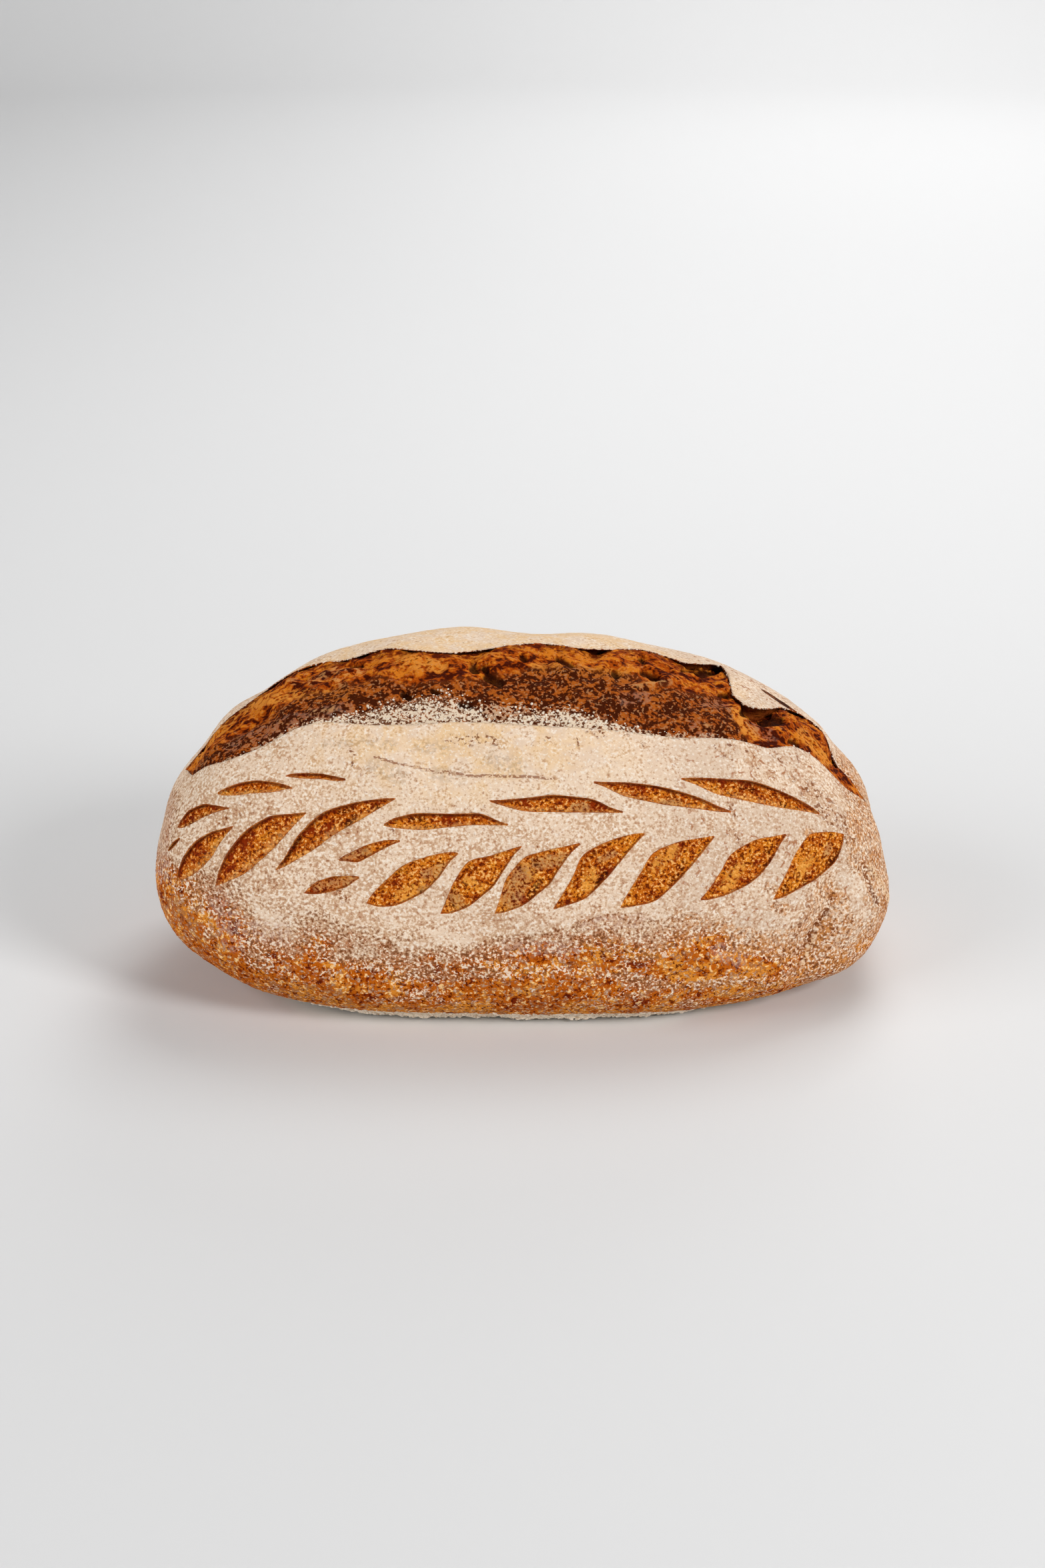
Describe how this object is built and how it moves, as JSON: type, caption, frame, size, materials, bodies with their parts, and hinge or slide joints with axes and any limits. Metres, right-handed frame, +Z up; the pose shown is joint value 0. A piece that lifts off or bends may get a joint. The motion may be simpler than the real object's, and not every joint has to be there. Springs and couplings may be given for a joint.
{
  "type": "wholemeal sourdough loaf",
  "caption": "Oval sourdough loaf with a flat base, an opened cut and crust ear along its crown, and wheat-ear scoring on its floured front.",
  "frame": {"origin": "middle of the loaf's bounding box in plan, on the surface that it rests on", "axes": "+X along the loaf, +Y away from the scored front, +Z up"},
  "size_m": [0.2698, 0.1474, 0.1255],
  "materials": {
    "crust": null
  },
  "bodies": {
    "root": {"loaf": "crust"}
  },
  "joints": []
}
